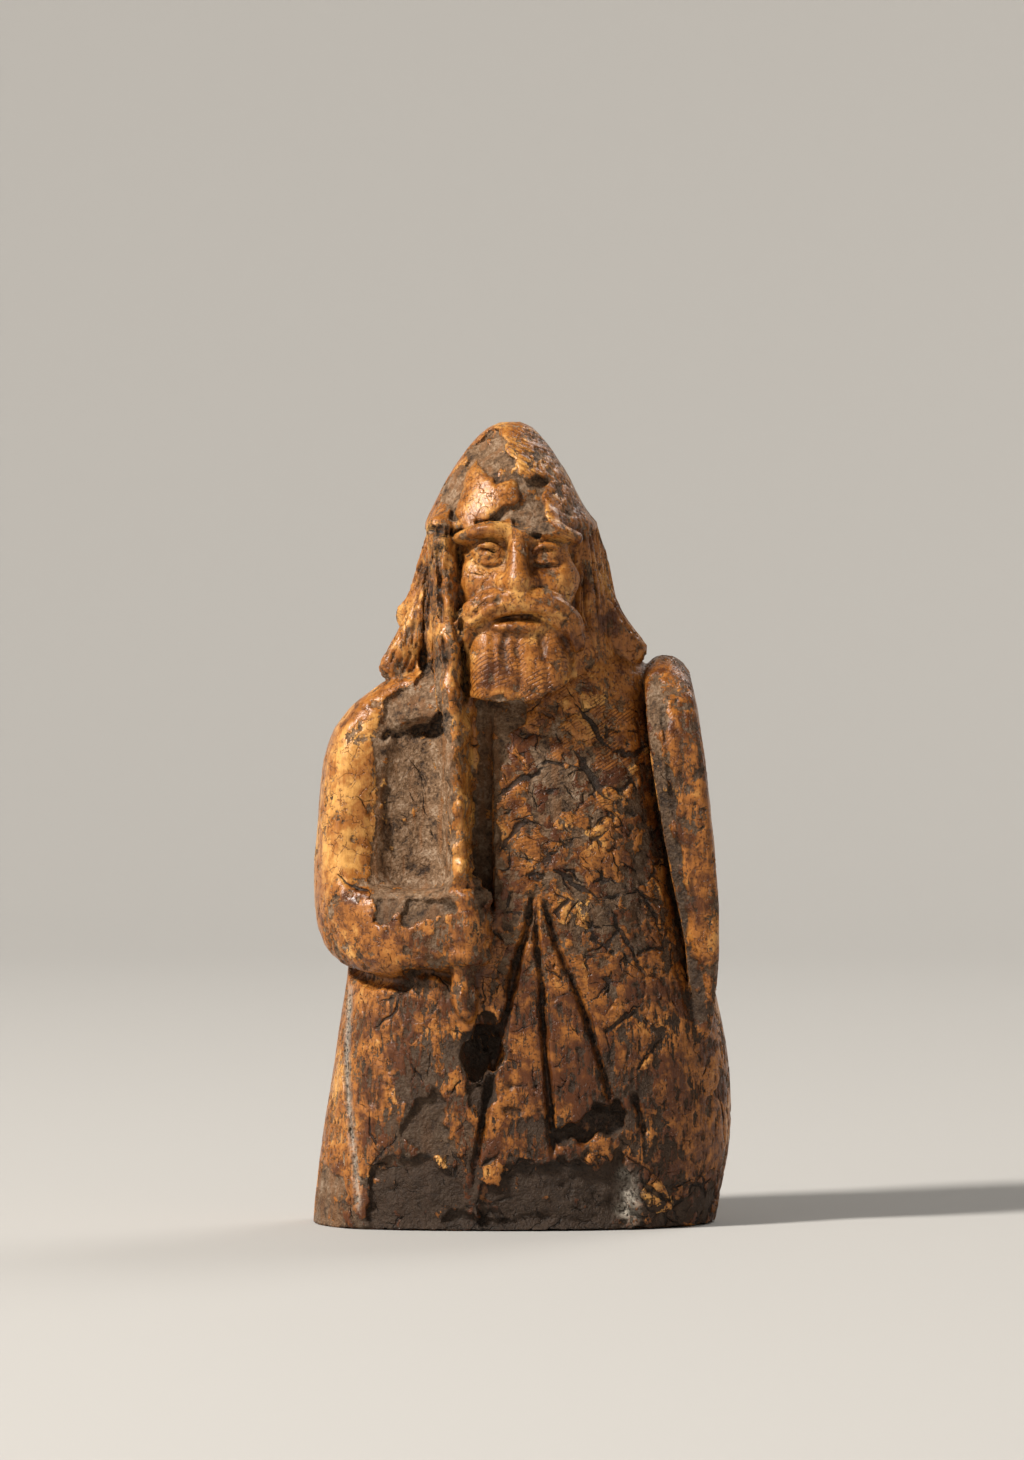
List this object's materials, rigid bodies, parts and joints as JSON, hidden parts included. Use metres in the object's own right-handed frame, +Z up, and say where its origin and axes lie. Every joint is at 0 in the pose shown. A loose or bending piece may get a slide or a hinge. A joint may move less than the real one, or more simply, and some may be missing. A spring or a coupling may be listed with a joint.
{
  "type": "medieval chess piece",
  "caption": "Carved chess piece: a bearded medieval guard in a conical helmet, holding a sword upright and a kite shield at its side, standing on its long robe.",
  "frame": {"origin": "middle of the flat underside, on the surface that the figure stands on", "axes": "+Z up along the figure's height, the face looks along -Y, the shield is on the +X side and the sword on the -X side"},
  "size_m": [0.046, 0.0298, 0.088],
  "materials": {
    "aged_ivory": "amber-brown aged walrus ivory, worn to a soft polish, with dark age cracks and grime in the recesses"
  },
  "bodies": {
    "root": {"carved_warder": "aged_ivory"}
  },
  "joints": []
}
